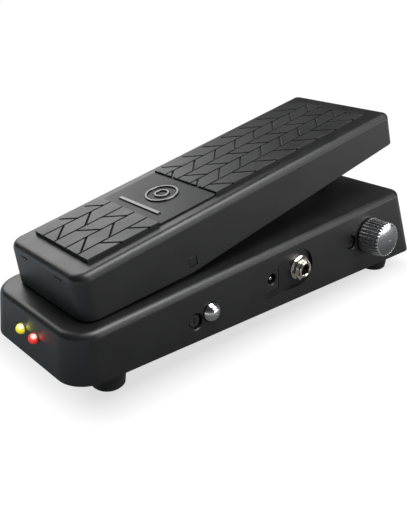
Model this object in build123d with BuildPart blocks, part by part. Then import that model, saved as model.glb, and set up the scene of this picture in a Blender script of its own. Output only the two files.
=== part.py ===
"""Rocker guitar effects pedal: wedge base, sprung treadle, jacks, knob, button, trimmers and lamps.

Millimetres. +X points to the side with the knob, +Y to the toe, +Z up. The origin is on the floor,
under the middle of the base.
"""

import os
from math import atan2, cos, degrees, radians, sin, tan

from build123d import *

# ---- driving dimensions ------------------------------------------------------------------------
WALL = 2.6  # moulded wall of the base and the treadle
GAP = 0.3  # clearance between pieces that move past each other
FIT = 0.05  # radial running clearance on shafts

# base: a wedge that rises and widens towards the toe, its walls drafted inwards
BASE_LENGTH = 250.9
FLOOR_GAP = 9.7  # height of the base's lower edge over the floor
HEEL_WIDTH = 81.9  # across the lower edge
TOE_WIDTH = 104.8
HEEL_HEIGHT = 33.9  # top plane over the floor at the heel end
TOE_HEIGHT = 53.4
SIDE_DRAFT = 4.9
HEEL_DRAFT = 5.0
TOE_DRAFT = 19.3
BASE_CORNERS = (15.3, 7.4)  # vertical corner radii at heel and toe
BASE_EDGE = 3.8  # round along the top edge
PLATE = 1.8  # bottom plate

# treadle: a long tray turned over, hinged a quarter of the way along
TILT = 10.8  # slope of its top plane at rest
TREADLE_HEEL = (-114.86, 57.87)  # y, z of the top plane's heel end
TREADLE_LENGTH = 224.0
TREADLE_HEEL_WIDTH = 62.1
TREADLE_TOE_WIDTH = 73.3
TREADLE_DRAFTS = (3.0, 3.8, 6.8)  # sides, heel, toe
TREADLE_CORNERS = (7.5, 4.6)
TREADLE_EDGE = 3.75
UNDERSIDE = ((-1.5, -22.6), (60.8, -27.5), (226.4, -20.0))  # along, depth: heel, keel, toe
PIVOT_Y = -50.2
PIVOT_Z = 48.4
TRAVEL = 9.0  # degrees, toe up to toe down

# rubber tread on the treadle
TREAD_START = 12.0  # from the treadle's heel end
TREAD_JOINTS = (0.0, 41.0, 78.0, 198.0)  # heel tread, centre panel, toe tread
TREAD_HALF_WIDTHS = (23.1, 27.3)
TREAD_THICK = 2.0
PANEL_THICK = 1.0

# pivot
SHAFT_R = 3.0
EAR_IN = 12.8
EAR_OUT = 16.8
BOSS_IN = 19.0
BUSH_R = 4.5
BRACKET = (24.0, 1.6)  # length and thickness of the bracket's floor
BRACKET_SCREWS = ((-9.3, -57.7), (9.3, -57.7), (-9.3, -42.7), (9.3, -42.7))
BRACKET_SCREW_R = 1.25

# feet: y is the distance from the middle of the base
FOOT_HEEL = (31.1, -102.0)
FOOT_TOE = (38.4, 102.1)
FOOT_R = (8.0, 9.0)
PLATE_SCREWS = ((-28.0, -80.0), (28.0, -80.0), (-34.0, -25.0), (14.0, 106.0))

# sockets in a flat-floored pocket in the side wall
POCKET_X = 44.6
JACK_Y = 17.6
JACK_Z = 28.0
JACK_BORE = 3.25
POCKET_R = 10.4
DC_Y = -3.2
DC_Z = 26.9

# controls square to the drafted side wall, by the y and z of their axes on its surface
BUTTON = (-46.7, 22.9)
BUTTON_TRAVEL = 2.0
TRIM_HEEL = (-56.8, 20.9)
TRIM_TOE = (62.7, 30.3)
KNOB = (78.2, 31.3)
KNOB_R = (11.0, 10.2)
KNOB_LENGTH = 14.0
FLUTES = 30

# lamps square to the heel wall, by x, and their height over the floor
LAMPS = {"led_yellow": -6.4, "led_red": 5.8}
LAMP_Z = 22.5
LAMP_R = 2.6

BOARD_DROP = 24.7  # top of the main board under the base's top plane
BOARD = 1.6
BOARD_SCREWS = ((-8.0, -54.0), (26.0, -28.0), (26.0, 48.0), (-8.0, 86.0))

# ---- frames and planes -------------------------------------------------------------------------
HEEL_Y = -BASE_LENGTH / 2
SLOPE = (TOE_HEIGHT - HEEL_HEIGHT) / BASE_LENGTH
TOP_ANGLE = degrees(atan2(SLOPE, 1))


def tilted(y, z, angle):
    """Plane through x = 0 whose local y climbs towards the toe at the given angle."""
    normal = (0, -sin(radians(angle)), cos(radians(angle)))
    return Plane(origin=(0, y, z), x_dir=(1, 0, 0), z_dir=normal)


def top_height(y):
    """Height of the base's top plane over the floor."""
    return HEEL_HEIGHT + (y - HEEL_Y) * SLOPE


TOP = tilted(HEEL_Y, HEEL_HEIGHT, TOP_ANGLE)
TREADLE = tilted(*TREADLE_HEEL, TILT)
FOOTPRINT = Plane(origin=(0, HEEL_Y, FLOOR_GAP))


def in_frame(frame, origin, normal):
    """Plane given by a point and a normal in another plane's coordinates."""
    return Plane(frame.location * Plane(origin=origin, z_dir=normal).location)


def drafted_walls(frame, length, heel_width, toe_width, drafts):
    """Outward-facing planes of four walls that lean in as they rise: right, left, heel, toe."""
    side, heel, toe = (tan(radians(draft)) for draft in drafts)
    spread = (toe_width - heel_width) / 2
    return [
        in_frame(frame, (heel_width / 2, 0, 0), (length, -spread, length * side)),
        in_frame(frame, (-heel_width / 2, 0, 0), (-length, -spread, length * side)),
        in_frame(frame, (0, 0, 0), (0, -1, heel)),
        in_frame(frame, (0, length, 0), (0, 1, toe)),
    ]


BASE_WALLS = drafted_walls(
    FOOTPRINT, BASE_LENGTH, HEEL_WIDTH, TOE_WIDTH, (SIDE_DRAFT, HEEL_DRAFT, TOE_DRAFT)
)
TREADLE_WALLS = drafted_walls(
    TREADLE, TREADLE_LENGTH, TREADLE_HEEL_WIDTH, TREADLE_TOE_WIDTH, TREADLE_DRAFTS
)
HEEL_WALL = BASE_WALLS[2]


def underside_planes(rise):
    """The treadle's two lower planes, which meet at the keel, raised by rise."""
    planes = []
    for start, end in ((UNDERSIDE[1], UNDERSIDE[0]), (UNDERSIDE[1], UNDERSIDE[2])):
        along = end[0] - start[0]
        up = end[1] - start[1]
        facing = 1 if along > 0 else -1
        plane = in_frame(TREADLE, (0, *start), (0, facing * up, -facing * along))
        planes.append(plane.offset(-rise))
    return planes


def wall_x(y, z):
    """Distance of the right-hand wall's surface from the middle of the base."""
    spread = (TOE_WIDTH - HEEL_WIDTH) / 2 * (y - HEEL_Y) / BASE_LENGTH
    return HEEL_WIDTH / 2 + spread - (z - FLOOR_GAP) * tan(radians(SIDE_DRAFT))


def on_side_wall(y, z):
    """Plane on the right-hand wall with its x along the wall and its z square to it, outwards."""
    run = (TOE_WIDTH - HEEL_WIDTH) / 2
    return Plane(
        origin=(wall_x(y, z), y, z), x_dir=(run, BASE_LENGTH, 0), z_dir=BASE_WALLS[0].z_dir
    )


def on_heel_wall(x):
    """Plane on the heel wall at lamp height, with its z square to the wall, outwards."""
    y = HEEL_Y + (LAMP_Z - FLOOR_GAP) * tan(radians(HEEL_DRAFT))
    return Plane(origin=(x, y, LAMP_Z), x_dir=(1, 0, 0), z_dir=HEEL_WALL.z_dir)


def jack_frame(side):
    """Plane on a pocket's floor at a jack's axis, with its z pointing out of the jack."""
    return Plane(
        origin=(side * POCKET_X, JACK_Y, JACK_Z), x_dir=(0, side, 0), z_dir=(side, 0, 0)
    )


def on_board(x, y):
    """Plane on the main board's upper face."""
    plane = tilted(y, top_height(y) - BOARD_DROP, TOP_ANGLE)
    return Plane(origin=(x, y, plane.origin.Z), x_dir=(1, 0, 0), z_dir=plane.z_dir)


def on_top(x, y):
    """Plane on the base's top face."""
    return Plane(origin=(x, y, top_height(y)), x_dir=(1, 0, 0), z_dir=TOP.z_dir)


# ---- shared shapes -----------------------------------------------------------------------------
def cut_block(frame, planes, corners):
    """Solid left of a large block when every plane cuts away its outer side, corners rounded."""
    with BuildPart() as block:
        with BuildSketch(frame):
            Rectangle(2 * BASE_LENGTH, 4 * BASE_LENGTH)
        extrude(amount=2 * TOE_HEIGHT, both=True)
        for plane in planes:
            split(bisect_by=plane, keep=Keep.BOTTOM)
        upright = block.edges().filter_by(lambda edge: abs(edge.tangent_at(0.5).Z) > 0.8)
        ends = upright.sort_by(Axis.Y)
        fillet(ends[:2], radius=corners[0])
        fillet(ends[2:], radius=corners[1])
    return block.part


def base_block(inset, lid=TOP, floor=None):
    """Solid of the base, each wall drawn in by inset, under a lid plane and over a floor."""
    planes = [wall.offset(-inset) for wall in BASE_WALLS] + [lid.offset(-inset)]
    planes.append(floor or Plane.XY.rotated((180, 0, 0)))
    return cut_block(FOOTPRINT, planes, [radius - inset for radius in BASE_CORNERS])


def treadle_block(inset, rise):
    """Solid of the treadle, walls and top drawn in by inset and its underside raised."""
    planes = [wall.offset(-inset) for wall in TREADLE_WALLS] + [TREADLE.offset(-inset)]
    planes += underside_planes(rise)
    return cut_block(TREADLE, planes, [radius - inset for radius in TREADLE_CORNERS])


def tube(plane, outer, inner, start, end):
    """Hollow cylinder, or solid when inner is 0, between two distances along a plane's normal."""
    with BuildPart() as ring:
        with BuildSketch(plane.offset(start)):
            Circle(outer)
            if inner:
                Circle(inner, mode=Mode.SUBTRACT)
        extrude(amount=end - start)
    return ring.part


def profile_plane(frame):
    """Plane through a frame's axis: its x runs along the frame's x, its y along the axis."""
    return Plane(origin=frame.origin, x_dir=frame.x_dir, z_dir=-frame.y_dir)


def turned(frame, *points):
    """Solid of revolution about a frame's axis from points given as radius and height."""
    with BuildPart() as solid:
        with BuildSketch(profile_plane(frame)):
            with BuildLine():
                Polyline(*points, close=True)
            make_face()
        revolve(axis=Axis(frame.origin, frame.z_dir))
    return solid.part


def dome(frame, radius, base, top):
    """Spherical cap on a frame's axis, from a base circle to its crown."""
    rise = top - base
    sphere_r = (radius**2 + rise**2) / (2 * rise)
    with BuildPart() as cap:
        with BuildSketch(profile_plane(frame)):
            with BuildLine():
                Line((0, top), (0, base))
                Line((0, base), (radius, base))
                RadiusArc((radius, base), (0, top), -sphere_r)
            make_face()
        revolve(axis=Axis(frame.origin, frame.z_dir))
    return cap.part


def save(piece, name):
    """Name a finished piece and write it."""
    piece.part.label = name
    export_step(piece.part, f"parts/{name}.step")


def pan_screw(plane, head_r, head_height, shank_r, length):
    """Cross-slotted screw whose head sits on a plane and whose shank runs down its normal."""
    with BuildPart() as screw:
        with BuildSketch(plane):
            Circle(head_r)
        extrude(amount=head_height)
        fillet(screw.faces().sort_by(SortBy.AREA)[-1].edges(), radius=head_height * 0.35)
        with BuildSketch(plane):
            Circle(shank_r)
        extrude(amount=-length)
        with BuildSketch(plane.offset(head_height)):
            Rectangle(head_r * 1.2, head_r * 0.25)
            Rectangle(head_r * 0.25, head_r * 1.2)
        extrude(amount=-head_height * 0.6, mode=Mode.SUBTRACT)
    return screw.part


os.makedirs("parts", exist_ok=True)

# ---- base housing ------------------------------------------------------------------------------
base_outer = base_block(0, floor=Plane.XY.offset(FLOOR_GAP).rotated((180, 0, 0)))
base_cavity = base_block(WALL)
PLATE_TOP = FLOOR_GAP + PLATE
BOSS_R = 3.6
SCREW_R = 1.4
DC_SIZE = (9.6, 11.4)  # socket body: along the wall, tall
DC_MIDDLE = 25.6
FLAG_SLOT = (8.0, 15.0)  # across, along
FLAG_Y = -20.0

foot_spots = [(side * x, y) for x, y in (FOOT_HEEL, FOOT_TOE) for side in (1, -1)]

with BuildPart() as bosses:
    with BuildSketch(Plane.XY.offset(PLATE_TOP)):
        with Locations(*foot_spots, *PLATE_SCREWS):
            Circle(BOSS_R)
    extrude(amount=TOE_HEIGHT)
    for screw_x, screw_y in BOARD_SCREWS:
        add(tube(on_board(screw_x, screw_y), 3.0, 0, 0, 2 * BOARD_DROP))
    for screw_x, screw_y in BRACKET_SCREWS:
        add(tube(on_top(screw_x, screw_y), 2.8, 0, -8.5, 0))
    add(base_block(WALL / 2), mode=Mode.INTERSECT)


def pocket(side, inner_x, grow, whole):
    """Space of a socket pocket from a depth outwards; whole takes in the power inlet as well."""
    with BuildPart() as space:
        with BuildSketch(Plane.YZ.offset(side * inner_x)):
            with BuildLine():
                CenterArc((JACK_Y, JACK_Z), POCKET_R + grow, 0, 360)
                if whole:
                    low = JACK_Z - POCKET_R + 4 - (JACK_Y - DC_Y) * SLOPE
                    CenterArc((DC_Y - 2, low), 4 + grow, 0, 360)
                    CenterArc((DC_Y - 2, low + 12), 4 + grow, 0, 360)
            make_hull()
        extrude(amount=side * 20)
    return space.part


with BuildPart() as pocket_walls:
    add(pocket(1, POCKET_X - WALL, WALL, True))
    add(pocket(-1, POCKET_X - WALL, WALL, False))
    add(base_outer, mode=Mode.INTERSECT)

with BuildPart() as base_housing:
    add(base_outer)
    top_face = base_housing.faces().sort_by(Axis.Z)[-1]
    fillet(top_face.edges(), radius=BASE_EDGE)
    bottom_face = base_housing.faces().sort_by(Axis.Z)[0]
    fillet(bottom_face.edges(), radius=0.5)
    add(base_cavity, mode=Mode.SUBTRACT)
    add(bosses.part)
    add(pocket_walls.part)
    add(pocket(1, POCKET_X, 0, True), mode=Mode.SUBTRACT)
    add(pocket(-1, POCKET_X, 0, False), mode=Mode.SUBTRACT)
    # holes for the screws that come up into the bosses
    with BuildSketch(Plane.XY.offset(PLATE_TOP)):
        with Locations(*foot_spots, *PLATE_SCREWS):
            Circle(SCREW_R + FIT)
    extrude(amount=13, mode=Mode.SUBTRACT)
    for screw_x, screw_y in BOARD_SCREWS:
        add(tube(on_board(screw_x, screw_y), SCREW_R + FIT, 0, 0, 9), mode=Mode.SUBTRACT)
    for screw_x, screw_y in BRACKET_SCREWS:
        hole = tube(on_top(screw_x, screw_y), BRACKET_SCREW_R + FIT, 0, -7.5, 1)
        add(hole, mode=Mode.SUBTRACT)
    # jack holes, and the window for the power inlet
    for side in (1, -1):
        with BuildSketch(jack_frame(side)):
            Circle(4.9)
        extrude(amount=-8, mode=Mode.SUBTRACT)
    with BuildSketch(Plane.YZ.offset(POCKET_X - 8)):
        with Locations((DC_Y, DC_MIDDLE)):
            Rectangle(DC_SIZE[0] + 0.3, DC_SIZE[1] + 0.3, rotation=TOP_ANGLE)
    extrude(amount=16, mode=Mode.SUBTRACT)
    # button hole, trimmer holes and the bushing hole behind the knob
    for spot, radius in ((BUTTON, 5.45), (TRIM_HEEL, 4.2), (TRIM_TOE, 4.2), (KNOB, 3.6)):
        with BuildSketch(on_side_wall(*spot)):
            Circle(radius)
        extrude(amount=6, both=True, mode=Mode.SUBTRACT)
    for spot in (TRIM_HEEL, TRIM_TOE):
        countersink = turned(on_side_wall(*spot), (0, -0.5), (4.2, -0.5), (4.8, 0.1), (0, 0.1))
        add(countersink, mode=Mode.SUBTRACT)
    # lamp holes
    for lamp_x in LAMPS.values():
        with BuildSketch(on_heel_wall(lamp_x)):
            Circle(LAMP_R + FIT)
        extrude(amount=5, both=True, mode=Mode.SUBTRACT)
    # slot in the top for the treadle's shutter
    with BuildSketch(Plane.XY.offset(top_height(FLAG_Y) - 8)):
        with Locations((0, FLAG_Y - 2)):
            Rectangle(*FLAG_SLOT)
    extrude(amount=16, mode=Mode.SUBTRACT)
save(base_housing, "base_housing")

# ---- bottom plate, battery door, feet and their screws -----------------------------------------
DOOR = (-26.0, 62.0, 31.0, 56.0)  # middle x and y, width, length
DOOR_AXIS_Y = DOOR[1] - DOOR[3] / 2
DOOR_T = PLATE
DOOR_AXIS_Z = FLOOR_GAP + DOOR_T / 2

with BuildPart() as bottom_plate:
    add(base_block(WALL + 0.35, lid=Plane.XY.offset(PLATE_TOP + WALL + 0.35)))
    split(bisect_by=Plane.XY.offset(FLOOR_GAP), keep=Keep.TOP)
    with BuildSketch(Plane.XY.offset(FLOOR_GAP)):
        with Locations(*foot_spots, *PLATE_SCREWS):
            Circle(SCREW_R + FIT)
        with Locations((DOOR[0], DOOR[1])):
            Rectangle(DOOR[2] + 2 * GAP, DOOR[3] + 2 * GAP)
    extrude(amount=PLATE, mode=Mode.SUBTRACT)
    # rims beside the hinge pins of the battery door
    with BuildSketch(Plane.YZ.offset(DOOR[0])):
        with Locations((DOOR_AXIS_Y + DOOR_T / 2, DOOR_AXIS_Z)):
            Circle(0.62)
    extrude(amount=DOOR[2] / 2 + 2.2, both=True, mode=Mode.SUBTRACT)
save(bottom_plate, "bottom_plate")

with BuildPart() as battery_door:
    # plate with a round hinge edge and a finger notch at the other end
    with BuildSketch(Plane.YZ.offset(DOOR[0])):
        with Locations((DOOR_AXIS_Y + DOOR_T / 2, DOOR_AXIS_Z)):
            Circle(DOOR_T / 2)
        with Locations((DOOR[1] + DOOR_T / 4, DOOR_AXIS_Z)):
            Rectangle(DOOR[3] - DOOR_T / 2, DOOR_T)
    extrude(amount=DOOR[2] / 2, both=True)
    with BuildSketch(Plane.YZ.offset(DOOR[0])):
        with Locations((DOOR_AXIS_Y + DOOR_T / 2, DOOR_AXIS_Z)):
            Circle(0.57)
    extrude(amount=DOOR[2] / 2 + 2, both=True)
    with BuildSketch(Plane.XY.offset(FLOOR_GAP)):
        with Locations((DOOR[0], DOOR[1] + DOOR[3] / 2)):
            Circle(5)
    extrude(amount=0.7, mode=Mode.SUBTRACT)
save(battery_door, "battery_door")

foot_names = ("foot_heel_right", "foot_heel_left", "foot_toe_right", "foot_toe_left")
for name, (foot_x, foot_y) in zip(foot_names, foot_spots):
    with BuildPart() as foot:
        with BuildSketch(Plane(origin=(foot_x, foot_y, 0), x_dir=(1, 0, 0), z_dir=(0, -1, 0))):
            with BuildLine():
                Polyline(
                    (1.8, 5.0),
                    (1.8, FLOOR_GAP),
                    (FOOT_R[1], FLOOR_GAP),
                    (FOOT_R[0] + 0.1, 1.0),
                    (FOOT_R[0] - 0.9, 0),
                    (3.8, 0),
                    (3.8, 5.0),
                    close=True,
                )
            make_face()
        revolve(axis=Axis((foot_x, foot_y, 0), (0, 0, 1)))
    save(foot, name)

with BuildPart() as foot_screws:
    for foot_x, foot_y in foot_spots:
        head = Plane(origin=(foot_x, foot_y, 5.0), z_dir=(0, 0, -1))
        add(pan_screw(head, 3.0, 2.2, SCREW_R, 18))
save(foot_screws, "foot_screws")

with BuildPart() as plate_screws:
    for screw_x, screw_y in PLATE_SCREWS:
        head = Plane(origin=(screw_x, screw_y, FLOOR_GAP), z_dir=(0, 0, -1))
        add(pan_screw(head, 2.8, 1.8, SCREW_R, 13))
save(plate_screws, "plate_screws")

# ---- pivot -------------------------------------------------------------------------------------
PIVOT = Plane(origin=(0, PIVOT_Y, PIVOT_Z), x_dir=(0, 1, 0), z_dir=(1, 0, 0))
with BuildPart() as pivot_bracket:
    with BuildSketch(Plane.YZ.offset(EAR_IN)):
        with BuildLine():
            CenterArc((PIVOT_Y, PIVOT_Z), 6.0, 0, 360)
            half = BRACKET[0] / 2
            PolarLine((PIVOT_Y - half, top_height(PIVOT_Y - half)), BRACKET[0], TOP_ANGLE)
        make_hull()
        with Locations((PIVOT_Y, PIVOT_Z)):
            Circle(SHAFT_R + FIT / 2, mode=Mode.SUBTRACT)
    extrude(amount=EAR_OUT - EAR_IN)
    mirror(about=Plane.YZ)
    with BuildSketch(on_top(0, PIVOT_Y)):
        Rectangle(2 * EAR_OUT, BRACKET[0])
    extrude(amount=BRACKET[1])
    for screw_x, screw_y in BRACKET_SCREWS:
        hole = tube(on_top(screw_x, screw_y), BRACKET_SCREW_R + FIT, 0, -1, 3)
        add(hole, mode=Mode.SUBTRACT)
save(pivot_bracket, "pivot_bracket")

with BuildPart() as bracket_screws:
    for screw_x, screw_y in BRACKET_SCREWS:
        head = on_top(screw_x, screw_y).offset(BRACKET[1])
        add(pan_screw(head, 2.3, 1.2, BRACKET_SCREW_R, 8.6))
save(bracket_screws, "bracket_screws")

SHAFT_END = 28.5
CLIP = (EAR_OUT + 0.2, 0.6)  # distance of a clip from the middle, thickness
GROOVE_R = 2.4

with BuildPart() as pivot_shaft:
    add(tube(PIVOT, SHAFT_R, 0, -SHAFT_END, SHAFT_END))
    chamfer(pivot_shaft.edges().filter_by(GeomType.CIRCLE), length=0.5)
    for side in (1, -1):
        ring = tube(PIVOT, SHAFT_R + 1, GROOVE_R, side * CLIP[0], side * (CLIP[0] + CLIP[1]))
        add(ring, mode=Mode.SUBTRACT)
save(pivot_shaft, "pivot_shaft")

with BuildPart() as shaft_clips:
    for side in (1, -1):
        with BuildSketch(PIVOT.offset(side * (CLIP[0] + 0.03))):
            Circle(5.0)
            Circle(GROOVE_R + 0.05, mode=Mode.SUBTRACT)
            with Locations((0, -3)):
                Rectangle(4.0, 6.0, mode=Mode.SUBTRACT)
            for turn in (35, 145):
                with Locations((5.2 * cos(radians(turn)), 5.2 * sin(radians(turn)))):
                    Circle(1.0, mode=Mode.SUBTRACT)
        extrude(amount=side * (CLIP[1] - 0.06))
save(shaft_clips, "shaft_clips")

BUSH_END = BOSS_IN + 9.0
for name, side in (("pivot_bush_right", 1), ("pivot_bush_left", -1)):
    with BuildPart() as bush:
        with BuildSketch(PIVOT.offset(side * (BOSS_IN - 1))):
            Circle(5.6)
            Circle(SHAFT_R + FIT, mode=Mode.SUBTRACT)
        extrude(amount=side)
        with BuildSketch(PIVOT.offset(side * BOSS_IN)):
            Circle(BUSH_R)
            Circle(SHAFT_R + FIT, mode=Mode.SUBTRACT)
        extrude(amount=side * (BUSH_END - BOSS_IN))
    save(bush, name)

# torsion spring: a coil round the shaft with one leg on the base and one up to the treadle
COIL_R = 5.0
WIRE_R = 0.7
COIL_PITCH = 1.6
COIL_HALF = 5.4  # 6.75 turns in all
HEEL_LEG = (-11.0, top_height(PIVOT_Y - 11) + BRACKET[1] + WIRE_R + 0.1 - PIVOT_Z)
TOE_LEG = (19.0, 19.6)


def spring_leg(side, start_angle, end):
    """Straight leg of the torsion spring, from its coil's end to a point beside the pivot."""
    start = (COIL_R * cos(radians(start_angle)), COIL_R * sin(radians(start_angle)))
    run = (end[0] - start[0], end[1] - start[1])
    origin = (side * COIL_HALF, PIVOT_Y + start[0], PIVOT_Z + start[1])
    with BuildPart() as leg:
        with BuildSketch(Plane(origin=origin, z_dir=(0, *run))):
            Circle(WIRE_R)
        extrude(amount=(run[0] ** 2 + run[1] ** 2) ** 0.5)
        with Locations(origin):
            Sphere(WIRE_R)
    return leg.part


coil = PIVOT.offset(-COIL_HALF).location * Helix(COIL_PITCH, 2 * COIL_HALF, COIL_R)
with BuildPart() as return_spring:
    with BuildSketch(Plane(origin=coil @ 0, z_dir=coil % 0)):
        Circle(WIRE_R)
    sweep(path=coil, is_frenet=True)
    add(spring_leg(-1, 0, TOE_LEG))
    add(spring_leg(1, 270, HEEL_LEG))
save(return_spring, "return_spring")

# ---- treadle -----------------------------------------------------------------------------------
RIM_ROUND = 0.6
RIB_RISE = 3.7  # stop ribs end this far above the underside
RIB_SPOTS = (16.1, 205.1)
PLUG = 5.0
PLUG_FLOOR = 32.2  # bottom of the plug's socket, from the middle of the treadle
BAR_SPOTS = (-15.8, 14.7)
BAR_DROP = 5.0

treadle_outer = treadle_block(0, 0)
treadle_cavity = treadle_block(WALL, -20)

with BuildPart() as stop_ribs:
    with BuildSketch(TREADLE):
        with Locations(*((0, spot) for spot in RIB_SPOTS)):
            Rectangle(TREADLE_TOE_WIDTH * 2, 2.2)
    extrude(amount=60, both=True)
    add(treadle_block(WALL / 2, RIB_RISE), mode=Mode.INTERSECT)

with BuildPart() as pivot_bosses:
    for side in (1, -1):
        with BuildSketch(PIVOT.offset(side * BOSS_IN)):
            Circle(5.6)
        extrude(amount=side * 20)
    add(treadle_block(WALL / 2, 0), mode=Mode.INTERSECT)

with BuildPart() as treadle_shell:
    add(treadle_outer)
    # a slight round along the lower rims, the keel apart, and a large one along the top edge
    stacked = treadle_shell.faces().sort_by(Axis(TREADLE.origin, TREADLE.z_dir))
    rims = (stacked[0].edges() + stacked[1].edges()).filter_by(
        lambda edge: abs(edge.center().Y - PIVOT_Y) > 10 or abs(edge.center().X) > 10
    )
    fillet(rims, radius=RIM_ROUND)
    top_face = treadle_shell.faces().sort_by(Axis(TREADLE.origin, TREADLE.z_dir))[-1]
    fillet(top_face.edges(), radius=TREADLE_EDGE)
    add(treadle_cavity, mode=Mode.SUBTRACT)
    add(stop_ribs.part)
    add(pivot_bosses.part)
    for side in (1, -1):
        with BuildSketch(PIVOT.offset(side * BOSS_IN)):
            Circle(BUSH_R)
        extrude(amount=side * (SHAFT_END + 1 - BOSS_IN), mode=Mode.SUBTRACT)
        with BuildSketch(PIVOT.offset(side * PLUG_FLOOR)):
            Rectangle(PLUG + 0.3, PLUG + 0.3, rotation=TILT)
        extrude(amount=side * 5, mode=Mode.SUBTRACT)
    # two low moulded bars on the heel wall, under its top edge
    with BuildSketch(TREADLE.offset(-BAR_DROP)):
        bar_y = -(BAR_DROP - 0.35) * tan(radians(TREADLE_DRAFTS[1]))
        with Locations(*((bar_x, bar_y) for bar_x in BAR_SPOTS)):
            Rectangle(5.0, 0.8)
    extrude(amount=0.7)
save(treadle_shell, "treadle_shell")

for name, side in (("pivot_plug_right", 1), ("pivot_plug_left", -1)):
    with BuildPart() as plug:
        with BuildSketch(PIVOT.offset(side * PLUG_FLOOR)):
            Rectangle(PLUG, PLUG, rotation=TILT)
        extrude(amount=side * 1.3)
        fillet(plug.faces().sort_by(Axis.X)[-1 if side > 0 else 0].edges(), radius=0.3)
    save(plug, name)


def tread_outline(start, end):
    """Trapezoid of the tread between two distances from its heel edge, in the treadle's plane."""
    rate = (TREAD_HALF_WIDTHS[1] - TREAD_HALF_WIDTHS[0]) / TREAD_JOINTS[-1]
    near = TREAD_HALF_WIDTHS[0] + rate * start
    far = TREAD_HALF_WIDTHS[0] + rate * end
    low = TREAD_START + start
    high = TREAD_START + end
    return [(-near, low), (near, low), (far, high), (-far, high)]


tread_pieces = zip(
    ("heel_tread", "centre_panel", "toe_tread"),
    zip(TREAD_JOINTS, TREAD_JOINTS[1:]),
    (TREAD_THICK, PANEL_THICK, TREAD_THICK),
)
for name, (start, end), thick in tread_pieces:
    with BuildPart() as tread:
        with BuildSketch(TREADLE) as outline:
            with BuildLine():
                Polyline(*tread_outline(start + 0.05, end - 0.05), close=True)
            make_face()
            fillet(outline.vertices(), radius=1.2)
        extrude(amount=thick)
        chamfer(tread.faces().sort_by(Axis.Z)[-1].edges(), length=0.3)
    save(tread, name)

# blade that hangs from the treadle's ceiling into the light sensor
FLAG_T = 1.5
FLAG_TIP = 28.5
FLAG_HALF = 4.0
with BuildPart() as shutter_flag:
    with BuildSketch(Plane.YZ):
        with Locations((FLAG_Y, 50)):
            Rectangle(2 * FLAG_HALF, 2 * (50 - FLAG_TIP))
        with Locations((FLAG_Y, 73)):
            Rectangle(2 * FLAG_HALF, 12)
    extrude(amount=FLAG_T / 2, both=True)
    split(bisect_by=TREADLE.offset(-WALL), keep=Keep.BOTTOM)
    with BuildSketch(TREADLE.offset(-WALL)):
        with Locations((0, (FLAG_Y - TREADLE_HEEL[0]) / cos(radians(TILT)) - 0.4)):
            Rectangle(14, 12)
    extrude(amount=-2)
save(shutter_flag, "shutter_flag")

# rubber stops on the base, under the treadle's two ribs
HEEL_STOPS = ("heel_bumper", -95.3, (-18, 18), 5.0, 4.35)
TOE_STOP = ("toe_bumper", 92.8, (0,), 6.0, 5.8)
for name, stop_y, spots, radius, height in (HEEL_STOPS, TOE_STOP):
    with BuildPart() as bumper:
        with BuildSketch(on_top(0, stop_y)):
            with Locations(*((spot, 0) for spot in spots)):
                Circle(radius)
        extrude(amount=height)
        fillet(bumper.faces().group_by(Axis.Z)[-1].edges(), radius=0.8)
    save(bumper, name)

# ---- circuit boards ----------------------------------------------------------------------------
with BuildPart() as main_board:
    with BuildSketch(on_board(0, 0)):
        with Locations((9.0, 14.0)):
            Rectangle(42, 160)
        with Locations((28, 10)):
            Rectangle(16, 40)
        with Locations((-24, 18)):
            Rectangle(28, 28)
    extrude(amount=-BOARD)
    for screw_x, screw_y in BOARD_SCREWS:
        hole = tube(on_board(screw_x, screw_y), SCREW_R + 0.1, 0, -BOARD, 0)
        add(hole, mode=Mode.SUBTRACT)
save(main_board, "main_board")

with BuildPart() as board_screws:
    for screw_x, screw_y in BOARD_SCREWS:
        under = on_board(screw_x, screw_y).offset(-BOARD)
        head = Plane(origin=under.origin, x_dir=(1, 0, 0), z_dir=-under.z_dir)
        add(pan_screw(head, 2.6, 1.0, SCREW_R, 9))
save(board_screws, "board_screws")

SIDE_DEPTH = 10.2  # face of the side boards behind the outer wall
for name, (board_y, board_z), size in (
    ("button_board", (-51.8, 24.2), (22, 12.6)),
    ("knob_board", (72.6, 33.2), (34, 12)),
):
    with BuildPart() as side_board:
        with BuildSketch(on_side_wall(board_y, board_z).offset(-SIDE_DEPTH)):
            Rectangle(*size)
        extrude(amount=-BOARD)
    save(side_board, name)

with BuildPart() as light_sensor:
    sensor = on_board(0, FLAG_Y - 2)
    with BuildSketch(sensor):
        Rectangle(13, 9)
    extrude(amount=13)
    with BuildSketch(sensor.offset(2.6)):
        Rectangle(4.4, 20)
    extrude(amount=12, mode=Mode.SUBTRACT)
save(light_sensor, "light_sensor")

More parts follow.
